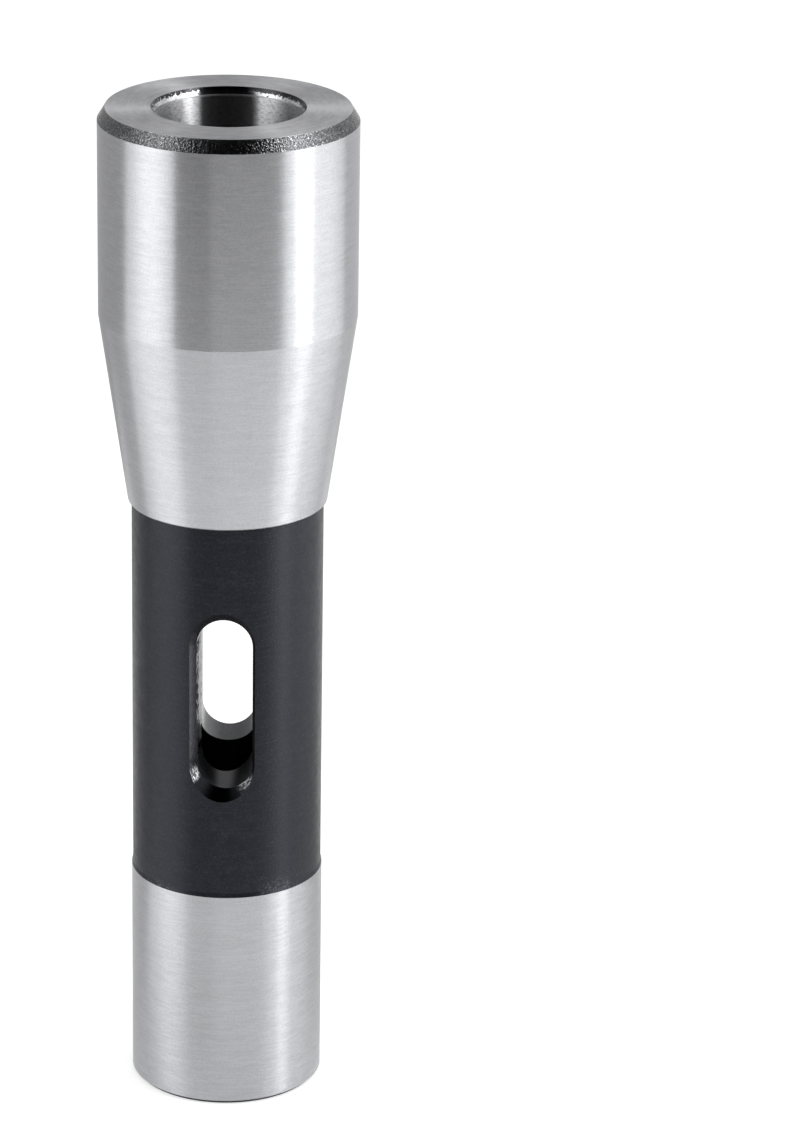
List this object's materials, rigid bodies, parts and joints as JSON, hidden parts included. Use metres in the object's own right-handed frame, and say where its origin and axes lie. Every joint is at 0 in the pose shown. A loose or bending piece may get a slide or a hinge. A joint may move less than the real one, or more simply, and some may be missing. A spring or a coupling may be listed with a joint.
{
  "type": "morse taper adapter",
  "caption": "One-piece turned adapter with a tapered spindle shank, a tapered tool socket in its collar, a drift slot across the shank and a drawbar thread in its rear end.",
  "frame": {"origin": "centre of the rear face, on the axis", "axes": "+Z along the axis, from the rear face to the nose; the drift slot runs along Y, and the keyway is on the +Y side"},
  "size_m": [0.0318, 0.0318, 0.1275],
  "materials": {
    "ground_steel": "ground bright on the collar, taper and rear land, black oxide on the relief, the drift slot, the drawbar hole, the keyway and the rear face"
  },
  "bodies": {
    "root": {"adapter_body": "ground_steel"}
  },
  "joints": []
}
